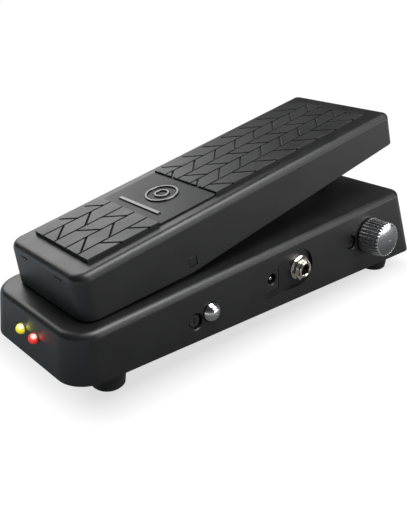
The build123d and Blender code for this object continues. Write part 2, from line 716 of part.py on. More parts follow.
# ---- jacks and power inlet ---------------------------------------------------------------------
BUSHING_R = 4.75
BUSHING_OUT = 5.8
BUSHING_IN = -7.2
for label, side in (("input_jack", 1), ("output_jack", -1)):
    mouth = jack_frame(side)
    with BuildPart() as jack_body:
        with BuildSketch(mouth.offset(-WALL)):
            Rectangle(17, 13.2)
        extrude(amount=-23.4)
        with BuildSketch(mouth.offset(-WALL)):
            Circle(BUSHING_R)
        extrude(amount=BUSHING_IN + WALL, mode=Mode.SUBTRACT)
        with BuildSketch(mouth.offset(BUSHING_IN)):
            Circle(4.0)
        extrude(amount=-17.6, mode=Mode.SUBTRACT)
    save(jack_body, f"{label}_body")
    with BuildPart() as bushing:
        add(tube(mouth, BUSHING_R, JACK_BORE, BUSHING_IN, BUSHING_OUT))
        rims = bushing.faces().sort_by(Axis.X)[-1 if side > 0 else 0].edges()
        chamfer(rims, length=0.5)
    save(bushing, f"{label}_bushing")
    with BuildPart() as washer:
        add(tube(mouth, 6.85, BUSHING_R + FIT, 0, 0.9))
    save(washer, f"{label}_washer")
    with BuildPart() as nut:
        with BuildSketch(mouth.offset(0.9)):
            RegularPolygon(6.6, 6, rotation=12)
        extrude(amount=2.5)
        with BuildPart(mode=Mode.PRIVATE) as crown:
            with BuildSketch(mouth.offset(0.9)):
                Circle(6.6)
            extrude(amount=2.5)
            chamfer(crown.edges().filter_by(GeomType.CIRCLE).sort_by(Axis.X)[-1], length=0.6)
        with BuildSketch(mouth.offset(0.9)):
            Circle(BUSHING_R + FIT)
        extrude(amount=2.5, mode=Mode.SUBTRACT)
    save(nut, f"{label}_nut")

DC_FACE = POCKET_X - 0.2
DC_HOLE_R = 3.15
DC_HOLE_DEPTH = 10.0
with BuildPart() as dc_jack:
    with BuildSketch(Plane.YZ.offset(DC_FACE)):
        with Locations((DC_Y, DC_MIDDLE)):
            Rectangle(*DC_SIZE, rotation=TOP_ANGLE)
    extrude(amount=-14)
    with BuildSketch(Plane.YZ.offset(DC_FACE)):
        with Locations((DC_Y, DC_Z)):
            Circle(DC_HOLE_R)
    extrude(amount=-DC_HOLE_DEPTH, mode=Mode.SUBTRACT)
    mouth_edge = dc_jack.edges().filter_by(GeomType.CIRCLE).sort_by(Axis.X)[-1]
    chamfer(mouth_edge, length=0.45)
save(dc_jack, "dc_jack")

with BuildPart() as dc_jack_pin:
    pin_plane = Plane(origin=(DC_FACE, DC_Y, DC_Z), x_dir=(0, 1, 0), z_dir=(1, 0, 0))
    add(tube(pin_plane, 1.05, 0, -DC_HOLE_DEPTH, -1.2))
    fillet(dc_jack_pin.edges().sort_by(Axis.X)[-1], radius=0.5)
save(dc_jack_pin, "dc_jack_pin")

# ---- push button -------------------------------------------------------------------------------
button_axis = on_side_wall(*BUTTON)
with BuildPart() as boost_button:
    add(turned(button_axis, (0, -7), (1.5, -7), (1.5, -3), (5.1, -3), (5.1, 0.7), (0, 0.7)))
    add(dome(button_axis, 5.1, 0.7, 3.9))
save(boost_button, "boost_button")

with BuildPart() as button_switch:
    with BuildSketch(button_axis.offset(-SIDE_DEPTH)):
        Rectangle(8.6, 8.6)
    extrude(amount=SIDE_DEPTH - 5.4)
    with BuildSketch(button_axis.offset(-9.6)):
        Circle(1.8)
    extrude(amount=5, mode=Mode.SUBTRACT)
save(button_switch, "button_switch")

# ---- trimmers ----------------------------------------------------------------------------------
ROTOR_FACE = -1.5
for label, spot in (("heel_trimmer", TRIM_HEEL), ("toe_trimmer", TRIM_TOE)):
    axis_frame = on_side_wall(*spot)
    with BuildPart() as trimmer_body:
        with BuildSketch(axis_frame.offset(-SIDE_DEPTH)):
            Rectangle(9.2, 9.2)
        extrude(amount=SIDE_DEPTH - WALL)
        with BuildSketch(axis_frame.offset(-9)):
            Circle(1.5 + FIT)
        extrude(amount=8, mode=Mode.SUBTRACT)
    save(trimmer_body, f"{label}_body")
    with BuildPart() as rotor:
        add(tube(axis_frame, 1.5, 0, -8.7, -2.4))
        add(tube(axis_frame, 3.4, 0, -2.4, ROTOR_FACE))
        chamfer(rotor.edges().filter_by(GeomType.CIRCLE).sort_by(Axis.X)[-1], length=0.3)
        with BuildSketch(axis_frame.offset(ROTOR_FACE)):
            Rectangle(3.6, 0.8)
            Rectangle(0.8, 3.6)
        extrude(amount=-0.6, mode=Mode.SUBTRACT)
    save(rotor, f"{label}_rotor")

# ---- range knob on its potentiometer -----------------------------------------------------------
knob_axis = on_side_wall(*KNOB)
KNOB_BACK = 0.6
KNOB_HOLLOW = 5.0
SHAFT_TIP = 11.0
with BuildPart() as range_pot:
    with BuildSketch(knob_axis.offset(-SIDE_DEPTH)):
        Rectangle(10, 9.8)
    extrude(amount=SIDE_DEPTH - WALL)
    with BuildSketch(knob_axis.offset(-4)):
        Circle(3.5)
    extrude(amount=8)
    with BuildSketch(knob_axis.offset(-9.2)):
        Circle(SHAFT_R + FIT)
    extrude(amount=15, mode=Mode.SUBTRACT)
save(range_pot, "range_pot")

with BuildPart() as pot_nut:
    with BuildSketch(knob_axis.offset(0.05)):
        RegularPolygon(5.8, 6)
        Circle(3.5 + FIT, mode=Mode.SUBTRACT)
    extrude(amount=2.2)
save(pot_nut, "pot_nut")

with BuildPart() as pot_shaft:
    add(tube(knob_axis, SHAFT_R, 0, -9.0, SHAFT_TIP))
    chamfer(pot_shaft.edges().sort_by(Axis.X)[-1], length=0.5)
save(pot_shaft, "pot_shaft")


def fluted(plane, radius):
    """Round outline with a ring of grooves, scaled to a radius."""
    with BuildSketch(plane) as outline:
        Circle(radius)
        with PolarLocations(radius * 1.005, FLUTES):
            Circle(radius * 0.06, mode=Mode.SUBTRACT)
    return outline.sketch


knob_back_outline = fluted(knob_axis.offset(KNOB_BACK), KNOB_R[0])
knob_front_outline = fluted(knob_axis.offset(KNOB_LENGTH), KNOB_R[1])
with BuildPart() as range_knob:
    loft([knob_back_outline, knob_front_outline], ruled=True)
    with BuildSketch(knob_axis.offset(KNOB_BACK)):
        Circle(8.4)
    extrude(amount=KNOB_HOLLOW - KNOB_BACK, mode=Mode.SUBTRACT)
    with BuildSketch(knob_axis.offset(KNOB_HOLLOW)):
        Circle(SHAFT_R + 0.02)
    extrude(amount=SHAFT_TIP - KNOB_HOLLOW + 0.2, mode=Mode.SUBTRACT)
    with BuildSketch(knob_axis.offset(KNOB_LENGTH - 1.4)):
        Circle(9.3)
    extrude(amount=2, mode=Mode.SUBTRACT)
save(range_knob, "range_knob")

with BuildPart() as knob_cap:
    add(tube(knob_axis, 9.25, 0, KNOB_LENGTH - 1.4, KNOB_LENGTH))
    add(dome(knob_axis, 9.25, KNOB_LENGTH, KNOB_LENGTH + 1.6))
save(knob_cap, "knob_cap")

# ---- lamps -------------------------------------------------------------------------------------
LAMP_DEPTH = 6.0
LED_BOARD_DEPTH = 9.5
for name, lamp_x in LAMPS.items():
    lamp_axis = on_heel_wall(lamp_x)
    with BuildPart() as lamp:
        add(tube(lamp_axis, LAMP_R, 0, -LAMP_DEPTH, 0.5))
        add(dome(lamp_axis, LAMP_R, 0.5, 3.1))
        add(tube(lamp_axis, 3.1, 0, -LAMP_DEPTH, -LAMP_DEPTH + 1))
        with BuildSketch(lamp_axis.offset(-LAMP_DEPTH)):
            with Locations((-1.27, 0), (1.27, 0)):
                Rectangle(0.5, 0.5)
        extrude(amount=LAMP_DEPTH - LED_BOARD_DEPTH)
    save(lamp, name)

with BuildPart() as led_board:
    with BuildSketch(on_heel_wall(sum(LAMPS.values()) / 2).offset(-LED_BOARD_DEPTH)):
        Rectangle(26, 15)
    extrude(amount=-BOARD)
save(led_board, "led_board")

# ---- battery -----------------------------------------------------------------------------------
BATTERY = (26.0, 48.5, 17.0)
BATTERY_MIDDLE = (DOOR[0], DOOR[1], PLATE_TOP + 0.3 + BATTERY[2] / 2)
TERMINAL_Y = BATTERY_MIDDLE[1] + BATTERY[1] / 2
TERMINALS = [(DOOR[0] + offset, BATTERY_MIDDLE[2]) for offset in (-6.4, 6.4)]
TERMINAL_PLANE = Plane(origin=(0, TERMINAL_Y, 0), x_dir=(-1, 0, 0), z_dir=(0, 1, 0))

with BuildPart() as battery:
    with BuildSketch(Plane.XY.offset(PLATE_TOP + 0.3)):
        with Locations(BATTERY_MIDDLE[:2]):
            Rectangle(*BATTERY[:2])
    extrude(amount=BATTERY[2])
    fillet(battery.edges().filter_by(Axis.Y), radius=2.0)
    with BuildSketch(TERMINAL_PLANE):
        with Locations(*((-x, z) for x, z in TERMINALS)):
            Circle(2.8)
    extrude(amount=2.6)
save(battery, "battery")

with BuildPart() as battery_snap:
    with BuildSketch(TERMINAL_PLANE.offset(0.2)):
        with Locations((-BATTERY_MIDDLE[0], BATTERY_MIDDLE[2])):
            RectangleRounded(BATTERY[0] - 1, BATTERY[2] - 1, 3)
        with Locations(*((-x, z) for x, z in TERMINALS)):
            Circle(2.9, mode=Mode.SUBTRACT)
    extrude(amount=3.6)
save(battery_snap, "battery_snap")
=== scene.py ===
"""Looks of the rocker guitar effects pedal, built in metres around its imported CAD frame."""

from math import cos, pi, radians, sin

import bmesh
import bpy
from mathutils import Matrix, Vector


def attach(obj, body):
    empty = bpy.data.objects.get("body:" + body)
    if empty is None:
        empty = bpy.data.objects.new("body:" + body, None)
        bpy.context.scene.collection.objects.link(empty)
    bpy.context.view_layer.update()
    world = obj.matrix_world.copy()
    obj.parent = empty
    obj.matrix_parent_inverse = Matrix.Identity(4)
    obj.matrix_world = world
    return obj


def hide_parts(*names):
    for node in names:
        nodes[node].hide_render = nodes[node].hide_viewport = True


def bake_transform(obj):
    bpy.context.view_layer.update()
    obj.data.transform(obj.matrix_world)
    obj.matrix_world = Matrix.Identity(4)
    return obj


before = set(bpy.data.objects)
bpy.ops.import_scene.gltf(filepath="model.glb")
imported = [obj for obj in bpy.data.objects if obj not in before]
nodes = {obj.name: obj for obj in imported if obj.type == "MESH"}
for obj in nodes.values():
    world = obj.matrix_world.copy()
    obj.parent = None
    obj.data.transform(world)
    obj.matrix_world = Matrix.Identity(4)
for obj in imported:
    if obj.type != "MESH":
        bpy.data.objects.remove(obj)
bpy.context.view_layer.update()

MM = 0.001

# ---- frame of the treadle ----------------------------------------------------------------------
TILT = radians(10.8)
TREADLE_ORIGIN = Vector((0, -0.11486, 0.05787))  # middle of its top's heel edge
ACROSS = Vector((1, 0, 0))
ALONG = Vector((0, cos(TILT), sin(TILT)))
UP = Vector((0, -sin(TILT), cos(TILT)))
TREAD_START = 12.0
HALF_WIDTHS = (23.1, 27.3)  # at the tread's heel and toe edges
TREAD_LENGTH = 198.0


def on_treadle(x, along, height):
    """Point given across the treadle, along it from the tread's heel edge, and over it, in mm."""
    return TREADLE_ORIGIN + MM * (x * ACROSS + (TREAD_START + along) * ALONG + height * UP)


def half_width(along):
    """Half the tread's width at a distance from its heel edge, in mm."""
    return HALF_WIDTHS[0] + (HALF_WIDTHS[1] - HALF_WIDTHS[0]) * along / TREAD_LENGTH


# ---- materials ---------------------------------------------------------------------------------
def new_material(name):
    """Empty node material: its tree, its Principled shader and its object coordinates."""
    material = bpy.data.materials.new(name)
    material.use_nodes = True
    tree = material.node_tree
    tree.nodes.clear()
    output = tree.nodes.new("ShaderNodeOutputMaterial")
    shader = tree.nodes.new("ShaderNodeBsdfPrincipled")
    tree.links.new(shader.outputs[0], output.inputs[0])
    coordinates = tree.nodes.new("ShaderNodeTexCoord").outputs["Object"]
    return material, tree, shader, coordinates


def add_noise(tree, coordinates, scale, detail=2.0, rough=0.5, stretch=None):
    """Noise value at a scale per metre, optionally stretched along the axes."""
    if stretch:
        mapping = tree.nodes.new("ShaderNodeMapping")
        mapping.inputs["Scale"].default_value = stretch
        tree.links.new(coordinates, mapping.inputs["Vector"])
        coordinates = mapping.outputs[0]
    noise = tree.nodes.new("ShaderNodeTexNoise")
    noise.inputs["Scale"].default_value = scale
    noise.inputs["Detail"].default_value = detail
    noise.inputs["Roughness"].default_value = rough
    tree.links.new(coordinates, noise.inputs["Vector"])
    return noise.outputs["Fac"]


def add_range(tree, value, low, high, start=0.3, end=0.7):
    """Value remapped from a start and end to low and high."""
    remap = tree.nodes.new("ShaderNodeMapRange")
    remap.inputs["From Min"].default_value = start
    remap.inputs["From Max"].default_value = end
    remap.inputs["To Min"].default_value = low
    remap.inputs["To Max"].default_value = high
    tree.links.new(value, remap.inputs["Value"])
    return remap.outputs["Result"]


def add_ramp(tree, value, *stops):
    """Colour from a value through stops given as position and colour."""
    ramp = tree.nodes.new("ShaderNodeValToRGB")
    elements = ramp.color_ramp.elements
    while len(elements) < len(stops):
        elements.new(0.5)
    for element, (position, colour) in zip(elements, stops):
        element.position = position
        element.color = (*colour, 1)
    tree.links.new(value, ramp.inputs["Fac"])
    return ramp.outputs["Color"]


def add_bump(tree, shader, value, distance, strength=1.0):
    """Bump of a real depth in metres."""
    bump = tree.nodes.new("ShaderNodeBump")
    bump.inputs["Strength"].default_value = strength
    bump.inputs["Distance"].default_value = distance
    tree.links.new(value, bump.inputs["Height"])
    previous = shader.inputs["Normal"]
    if previous.links:
        tree.links.new(previous.links[0].from_socket, bump.inputs["Normal"])
    tree.links.new(bump.outputs[0], previous)


# scales per metre of the uneven patches and of the scratches
PLASTIC_CLOUD = 60
METAL_CLOUD = 180
SCRATCHES = 1500
LENS_RIPPLE = 900
# the side of a lamp's lens where its painted highlight sits, a white spot painted into its colour
PAINTED_HIGHLIGHT_SIDE = (0.55, -0.25, 0.80)


def moulded(name, dark, light, rough, grain_scale, grain_depth, specular=0.5):
    """Plastic or rubber with a fine moulded grain and slightly uneven colour and gloss.

    The roughness is a low and a high value. The grain has a scale per metre and a depth in metres.
    """
    material, tree, shader, coordinates = new_material(name)
    cloud = add_noise(tree, coordinates, PLASTIC_CLOUD, 4)
    tree.links.new(add_ramp(tree, cloud, (0.3, dark), (0.7, light)), shader.inputs["Base Color"])
    tree.links.new(add_range(tree, cloud, *rough), shader.inputs["Roughness"])
    grain = add_noise(tree, coordinates, grain_scale, 3, 0.6)
    add_bump(tree, shader, grain, grain_depth)
    shader.inputs["Specular IOR Level"].default_value = specular
    return material


def metal(name, colour, rough, scratch_depth=2e-6, tint=0.9):
    """Metal with faint smears and a fine scratched grain."""
    material, tree, shader, coordinates = new_material(name)
    cloud = add_noise(tree, coordinates, METAL_CLOUD, 4)
    darker = [channel * tint for channel in colour]
    tree.links.new(add_ramp(tree, cloud, (0.3, darker), (0.7, colour)), shader.inputs["Base Color"])
    tree.links.new(add_range(tree, cloud, *rough), shader.inputs["Roughness"])
    shader.inputs["Metallic"].default_value = 1.0
    grain = add_noise(tree, coordinates, SCRATCHES, 2, stretch=(1, 1, 8))
    add_bump(tree, shader, grain, scratch_depth)
    return material


def lens(name, shaded_rim, body, highlight_core, glow):
    """Lit diffusing lens with a painted highlight, a white spot on the side turned to one
    direction, and a deeper colour away from it as painted shade.
    """
    material, tree, shader, coordinates = new_material(name)
    normal = tree.nodes.new("ShaderNodeTexCoord").outputs["Normal"]
    highlight_facing = tree.nodes.new("ShaderNodeVectorMath")
    highlight_facing.operation = "DOT_PRODUCT"
    highlight_facing.inputs[1].default_value = PAINTED_HIGHLIGHT_SIDE
    tree.links.new(normal, highlight_facing.inputs[0])
    # the first stop is painted shade and the last a painted highlight, both set by which way the
    # surface turns
    stops = ((0.1, shaded_rim), (0.55, body), (0.80, body), (0.93, highlight_core))
    colour = add_ramp(tree, highlight_facing.outputs["Value"], *stops)
    tree.links.new(colour, shader.inputs["Base Color"])
    tree.links.new(colour, shader.inputs["Emission Color"])
    shader.inputs["Emission Strength"].default_value = glow
    shader.inputs["Roughness"].default_value = 0.12
    ripple = add_noise(tree, coordinates, LENS_RIPPLE, 2)
    add_bump(tree, shader, ripple, 1e-6)
    return material


BLACK_PLASTIC = moulded(
    "black_plastic", (0.0055, 0.0056, 0.0058), (0.0075, 0.0077, 0.0079),
    (0.36, 0.42), 2600, 9e-6, 0.42,
)
BLACK_RUBBER = moulded(
    "tread_rubber", (0.008, 0.0082, 0.0086), (0.012, 0.0122, 0.0126),
    (0.4, 0.48), 3200, 1.2e-5, 0.42,
)
FOOT_RUBBER = moulded(
    "foot_rubber", (0.007, 0.0068, 0.0066), (0.011, 0.0105, 0.010),
    (0.35, 0.45), 3200, 1e-5, 0.4,
)
COMPONENT = moulded(
    "component_black", (0.012, 0.012, 0.012), (0.017, 0.017, 0.017),
    (0.3, 0.4), 4000, 4e-6,
)
PANEL_PLASTIC = moulded(
    "panel_plastic", (0.0065, 0.0068, 0.0071), (0.0085, 0.0088, 0.0091),
    (0.44, 0.5), 2600, 9e-6, 0.28,
)
GLOSS_BLACK = moulded(
    "gloss_black", (0.006, 0.006, 0.006), (0.008, 0.008, 0.008),
    (0.16, 0.22), 2600, 3e-6,
)
PLATE = moulded(
    "powder_coat", (0.014, 0.014, 0.015), (0.02, 0.02, 0.021),
    (0.5, 0.6), 1800, 3e-5,
)
NYLON = moulded("nylon", (0.62, 0.6, 0.54), (0.72, 0.7, 0.64), (0.4, 0.5), 2500, 5e-6)
BOARD = moulded("solder_mask", (0.01, 0.09, 0.04), (0.015, 0.12, 0.05), (0.2, 0.3), 2500, 3e-6)
BATTERY = moulded("battery_jacket", (0.02, 0.02, 0.03), (0.03, 0.03, 0.04), (0.2, 0.3), 900, 2e-6)
BUTTON_CHROME = metal("button_chrome", (0.60, 0.60, 0.61), (0.13, 0.18), 3e-7)
CAP_CHROME = metal("cap_chrome", (0.27, 0.275, 0.285), (0.15, 0.19), 3e-7)
KNOB_CHROME = metal("knob_chrome", (0.70, 0.70, 0.71), (0.24, 0.30), 6e-7)
NICKEL = metal("nickel", (0.78, 0.74, 0.68), (0.14, 0.22), 1e-6)
ZINC = metal("zinc_steel", (0.55, 0.55, 0.54), (0.25, 0.38))
SPRING = metal("spring_steel", (0.36, 0.36, 0.38), (0.25, 0.35))
# lens colours: the shaded edge as painted shade, the glow, then the white painted highlight, and
# the glow's strength
YELLOW_LENS = lens("yellow_lens", (0.42, 0.36, 0.01), (0.78, 0.68, 0.03), (1.0, 1.0, 0.62), 0.75)
RED_LENS = lens("red_lens", (0.42, 0.012, 0.01), (0.80, 0.03, 0.022), (1.0, 0.62, 0.55), 0.75)

finishes = {
    BLACK_PLASTIC: (
        "base_housing treadle_shell battery_door pivot_plug_right pivot_plug_left "
        "shutter_flag"
    ),
    PANEL_PLASTIC: "centre_panel",
    BLACK_RUBBER: "heel_tread toe_tread heel_bumper toe_bumper",
    FOOT_RUBBER: "foot_heel_right foot_heel_left foot_toe_right foot_toe_left",
    COMPONENT: (
        "light_sensor input_jack_body output_jack_body dc_jack button_switch heel_trimmer_body "
        "toe_trimmer_body heel_trimmer_rotor toe_trimmer_rotor battery_snap"
    ),
    PLATE: "bottom_plate",
    NYLON: "pivot_bush_right pivot_bush_left",
    BOARD: "main_board button_board knob_board led_board",
    BATTERY: "battery",
    BUTTON_CHROME: "boost_button",
    CAP_CHROME: "knob_cap",
    KNOB_CHROME: "range_knob",
    NICKEL: (
        "input_jack_bushing input_jack_washer input_jack_nut output_jack_bushing "
        "output_jack_washer output_jack_nut dc_jack_pin pot_nut range_pot pot_shaft"
    ),
    ZINC: "foot_screws plate_screws board_screws bracket_screws pivot_bracket pivot_shaft",
    SPRING: "shaft_clips return_spring",
    YELLOW_LENS: "led_yellow",
    RED_LENS: "led_red",
}
for material, names in finishes.items():
    for name in names.split():
        nodes[name].data.materials.clear()
        nodes[name].data.materials.append(material)


# ---- building pieces ---------------------------------------------------------------------------
def make_object(name, mesh, material):
    """Object in the scene from a finished bmesh, which is freed."""
    data = bpy.data.meshes.new(name)
    bmesh.ops.recalc_face_normals(mesh, faces=mesh.faces)
    mesh.to_mesh(data)
    mesh.free()
    data.materials.append(material)
    piece = bpy.data.objects.new(name, data)
    bpy.context.scene.collection.objects.link(piece)
    return piece


def finish_piece(name, mesh, material, body, replaced=()):
    """Wrap a finished bmesh as a piece that rides on a body."""
    piece = make_object(name, mesh, material)
    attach(piece, body)
    if replaced:
        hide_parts(*replaced)
    return piece


# ---- grooved treads ----------------------------------------------------------------------------
# ends of the two treads, in mm from the heel tread's heel edge
HEEL_ENDS = (0.0, 41.0)
TOE_ENDS = (78.0, 198.0)
END_GAP = 0.05
SHEET_HEIGHTS = (0.02, 0.9)
BLOCK_HEIGHTS = (0.85, 2.0)
BLOCK_EDGE = 0.18
COLUMNS = (-15.2, -5.08, 5.08, 15.2)  # middles of the grooves that run along the treadle
COLUMN_WIDTH = 10.1
GROOVE = 1.0
PITCH = 16.1
# a block is drawn past its column, and past the tread where no slanted groove ends it
DRAWN_FROM = -6.0
DRAWN_TO = 18.0
BEYOND = 60.0
SMALLEST_BLOCK = 0.6  # in square mm
# where the slanted grooves meet a column's left and right sides, in odd and in even columns
HEEL_PHASES = ((12.0, 20.2), (12.1, 2.0))
TOE_PHASES = ((82.0, 90.2), (99.6, 89.5))
# first slanted groove of a tread, and one past its last
HEEL_GROOVES = (0, 2)
TOE_GROOVES = (-1, 8)


def clip(points, keep):
    """Convex outline cut by a line: keep gives a signed distance, and negative is cut away."""
    kept = []
    for start, end in zip(points, points[1:] + points[:1]):
        first, second = keep(start), keep(end)
        if first >= 0:
            kept.append(start)
        if first * second < 0:
            share = first / (first - second)
            kept.append(tuple(a + (b - a) * share for a, b in zip(start, end)))
    return kept


def polygon_area(points):
    """Signed area of an outline."""
    pairs = zip(points, points[1:] + points[:1])
    return sum(a[0] * b[1] - b[0] * a[1] for a, b in pairs) / 2


def clip_block(outline, left, right, start, end):
    """Part of a block that lies inside its column and inside the tread's outline."""
    limits = [lambda point: point[1] - start, lambda point: end - point[1]]
    if left is None:
        limits.append(lambda point: point[0] + half_width(point[1]))
    else:
        limits.append(lambda point: point[0] - left - GROOVE / 2)
    if right is None:
        limits.append(lambda point: half_width(point[1]) - point[0])
    else:
        limits.append(lambda point: right - GROOVE / 2 - point[0])
    for limit in limits:
        outline = clip(outline, limit) if outline else []
    return outline


def tread_blocks(start, end, phases, grooves):
    """Outlines of the raised blocks between two distances along the tread, in mm."""
    blocks = []
    edges = (None, *COLUMNS, None)
    for index, (left, right) in enumerate(zip(edges, edges[1:])):
        at_left, at_right = phases[index % 2]
        inner_left = left if left is not None else COLUMNS[0] - COLUMN_WIDTH
        rate = (at_right - at_left) / COLUMN_WIDTH
        half = GROOVE / 2 * (1 + rate**2) ** 0.5
        lows = [start - BEYOND] + [at_left + step * PITCH + half for step in range(*grooves)]
        highs = [at_left + step * PITCH - half for step in range(*grooves)] + [end + BEYOND]
        for low, high in zip(lows, highs):
            low_rate = rate if low > start - BEYOND else 0
            high_rate = rate if high < end + BEYOND else 0
            outline = [
                (inner_left + DRAWN_FROM, low + DRAWN_FROM * low_rate),
                (inner_left + DRAWN_TO, low + DRAWN_TO * low_rate),
                (inner_left + DRAWN_TO, high + DRAWN_TO * high_rate),
                (inner_left + DRAWN_FROM, high + DRAWN_FROM * high_rate),
            ]
            outline = clip_block(outline, left, right, start, end)
            if len(outline) > 2 and abs(polygon_area(outline)) > SMALLEST_BLOCK:
                blocks.append(outline)
    return blocks


def add_slab(mesh, outline, low, high, bevel):
    """Prism on the treadle from an outline, between two heights, with its top edges rounded."""
    if polygon_area(outline) < 0:
        outline = outline[::-1]
    floor = [mesh.verts.new(on_treadle(x, along, low)) for x, along in outline]
    top = [mesh.verts.new(on_treadle(x, along, high)) for x, along in outline]
    mesh.faces.new(floor[::-1])
    lid = mesh.faces.new(top)
    for index in range(len(outline)):
        following = (index + 1) % len(outline)
        mesh.faces.new((floor[index], floor[following], top[following], top[index]))
    if bevel:
        bmesh.ops.bevel(
            mesh, geom=list(lid.edges), offset=bevel * MM, segments=2, affect="EDGES", profile=0.5
        )


def make_tread(name, replaced, ends, phases, grooves):
    """Tread: a thin sheet that carries the raised blocks."""
    mesh = bmesh.new()
    start, end = ends[0] + END_GAP, ends[1] - END_GAP
    sheet = [
        (-half_width(start), start),
        (half_width(start), start),
        (half_width(end), end),
        (-half_width(end), end),
    ]
    add_slab(mesh, sheet, *SHEET_HEIGHTS, 0)
    for outline in tread_blocks(start, end, phases, grooves):
        add_slab(mesh, outline, *BLOCK_HEIGHTS, BLOCK_EDGE)
    return finish_piece(name, mesh, BLACK_RUBBER, "treadle", (replaced,))


make_tread("heel_tread_grooved", "heel_tread", HEEL_ENDS, HEEL_PHASES, HEEL_GROOVES)
make_tread("toe_tread_grooved", "toe_tread", TOE_ENDS, TOE_PHASES, TOE_GROOVES)

# ---- emblem on the centre panel ----------------------------------------------------------------
PANEL_TOP = 1.0
EMBLEM_HEIGHTS = (PANEL_TOP - 0.1, PANEL_TOP + 0.7)
EMBLEM_EDGE = 0.25
RING_MIDDLE = 62.5
RINGS = ((9.0, 7.6, 72), (4.2, 2.8, 48))  # outer radius, inner radius and steps round
BAR_HALF = 16.0
BAR_SPAN = (46.4, 48.6)


def add_ring(mesh, place, outer, inner, low, high, steps, bevel):
    """Flat ring with rounded top edges, placed by a function of x, y and height in mm."""
    rows = []
    profile = [
        (outer, low),
        (outer, high - bevel),
        (outer - bevel, high),
        (inner + bevel, high),
        (inner, high - bevel),
        (inner, low),
    ]
    for radius, height in profile:
        row = []
        for step in range(steps):
            angle = 2 * pi * step / steps
            row.append(mesh.verts.new(place(radius * cos(angle), radius * sin(angle), height)))
        rows.append(row)
    for lower, upper in zip(rows, rows[1:] + rows[:1]):
        for step in range(steps):
            following = (step + 1) % steps
            mesh.faces.new((lower[step], lower[following], upper[following], upper[step]))


def on_panel(x, y, height):
    """Point on the centre panel, from the middle of its rings."""
    return on_treadle(x, RING_MIDDLE + y, height)


emblem = bmesh.new()
for outer, inner, steps in RINGS:
    add_ring(emblem, on_panel, outer, inner, *EMBLEM_HEIGHTS, steps, EMBLEM_EDGE)
bar = [
    (-BAR_HALF, BAR_SPAN[0]),
    (BAR_HALF, BAR_SPAN[0]),
    (BAR_HALF, BAR_SPAN[1]),
    (-BAR_HALF, BAR_SPAN[1]),
]
add_slab(emblem, bar, *EMBLEM_HEIGHTS, EMBLEM_EDGE)
finish_piece("panel_emblem", emblem, GLOSS_BLACK, "treadle")

# ---- range knob --------------------------------------------------------------------------------
KNOB_SPOT = (0.0782, 0.0313)  # its axis on the wall, along y and z
# radii and heights over the wall, in mm
KNOB_BORE = 3.02
BORE_TOP = 10.9
KNOB_HOLLOW = 8.4
HOLLOW_TOP = 5.0
KNOB_FOOT = 0.6
KNOB_RADIUS = 11.0
KNOB_TAPER = 0.78
SIDE_START = 1.2
SIDE_LENGTH = 11.4
SIDE_STEPS = 8
SHOULDER = (9.4, 12.6)  # middle of the rounded edge
SHOULDER_ROUND = (0.82, 1.4)
SHOULDER_STEPS = 6
CAP_SEAT = (9.3, 12.6)
SEAT_LIP = 13.9
FLUTES = 30
FLUTE_DEPTH = 0.9
STEPS_IN_FLUTE = 12
BASE_LENGTH = 0.2509
HEEL_HALF = 0.04095  # half the base's width at the heel, along its lower edge
SPREAD = 0.01145  # how much further out the side wall is at the toe
BASE_EDGE_Z = 0.0097
WALL_LEAN = 0.08573  # how far the wall leans in for each metre up


def side_wall_frame(y, z):
    """Point and outward, along and up directions on the base's right-hand wall."""
    share = (y + BASE_LENGTH / 2) / BASE_LENGTH
    x = HEEL_HALF + SPREAD * share - (z - BASE_EDGE_Z) * WALL_LEAN
    out = Vector((BASE_LENGTH, -SPREAD, BASE_LENGTH * WALL_LEAN)).normalized()
    along = Vector((SPREAD, BASE_LENGTH, 0)).normalized()
    return Vector((x, y, z)), out, along, out.cross(along)


def around(spot):
    """Placing function for a part turned about an axis square to the right-hand wall."""
    origin, out, along, up = side_wall_frame(*spot)

    def place(x, y, height):
        return origin + MM * (x * along + y * up + height * out)

    return place


def turned_rows(mesh, place, profile, steps, radius_at):
    """Rows of points round an axis, and the faces between them."""
    rows = []
    for radius, height, depth in profile:
        row = []
        for step in range(steps):
            angle = 2 * pi * step / steps
            reach = radius_at(radius, depth, angle)
            row.append(mesh.verts.new(place(reach * cos(angle), reach * sin(angle), height)))
        rows.append(row)
    for lower, upper in zip(rows, rows[1:]):
        for step in range(steps):
            following = (step + 1) % steps
            mesh.faces.new((lower[step], lower[following], upper[following], upper[step]))
    return rows


def flute_radius(radius, depth, angle):
    """Radius of the fluted skin: rounded ridges with narrower grooves between them."""
    wave = abs(cos(FLUTES * angle / 2))
    return radius - depth * (1 - wave**0.7)


# radius, height and flute depth: bore and hollow, foot, side, rounded shoulder, then the cap's seat
knob_profile = [
    (KNOB_BORE, BORE_TOP, 0),
    (KNOB_BORE, HOLLOW_TOP, 0),
    (KNOB_HOLLOW, HOLLOW_TOP, 0),
    (KNOB_HOLLOW, KNOB_FOOT, 0),
    (10.2, KNOB_FOOT, 0),
    (10.8, 0.75, 0.5),
    (KNOB_RADIUS, SIDE_START, FLUTE_DEPTH),
]
for step in range(1, SIDE_STEPS + 1):
    share = step / SIDE_STEPS
    radius = KNOB_RADIUS - KNOB_TAPER * share
    knob_profile.append((radius, SIDE_START + SIDE_LENGTH * share, FLUTE_DEPTH))
for step in range(1, SHOULDER_STEPS + 1):
    turn = radians(90 * step / SHOULDER_STEPS)
    radius = SHOULDER[0] + SHOULDER_ROUND[0] * cos(turn)
    reach = SHOULDER[1] + SHOULDER_ROUND[1] * sin(turn)
    knob_profile.append((radius, reach, FLUTE_DEPTH * cos(turn)))
knob_profile += [(CAP_SEAT[0], SEAT_LIP, 0), (*CAP_SEAT, 0), (KNOB_BORE, CAP_SEAT[1], 0)]
knob = bmesh.new()
